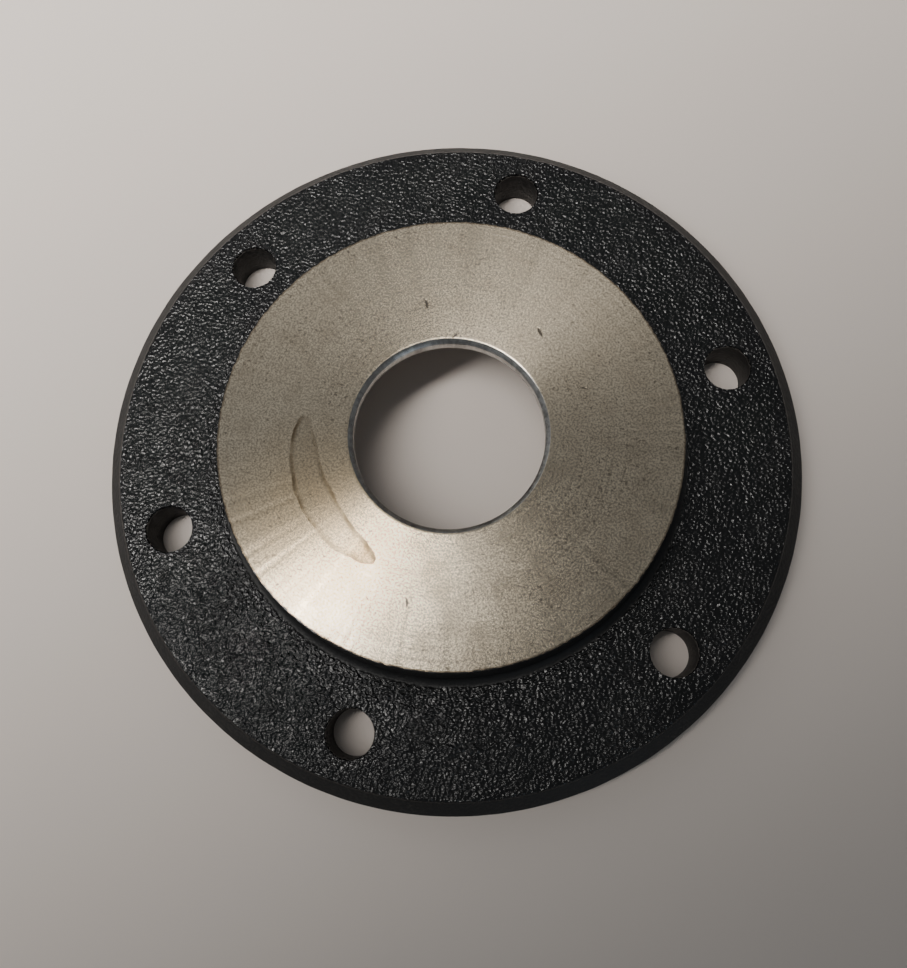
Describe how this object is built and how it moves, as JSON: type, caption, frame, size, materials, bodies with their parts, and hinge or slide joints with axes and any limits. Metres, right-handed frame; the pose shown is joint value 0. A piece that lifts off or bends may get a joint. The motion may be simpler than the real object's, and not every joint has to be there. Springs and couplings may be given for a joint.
{
  "type": "mounting flange",
  "caption": "Round cast iron bolt-on flange: bevelled rim, raised machined boss with a chamfered bore and an open bearing recess behind, and one bolt hole set off its place.",
  "frame": {"origin": "centre of the flat back face, on the bore axis", "axes": "+Z along the bore axis from the back face out through the boss; +Y from the axis through one evenly pitched bolt hole, so the hole set off its place lies 5 degrees from -Y towards -X"},
  "size_m": [0.168, 0.168, 0.023],
  "materials": {
    "black_cast_skin": "satin",
    "machined_iron": "satin"
  },
  "bodies": {
    "root": {"flange_casting": "black_cast_skin"}
  },
  "joints": []
}
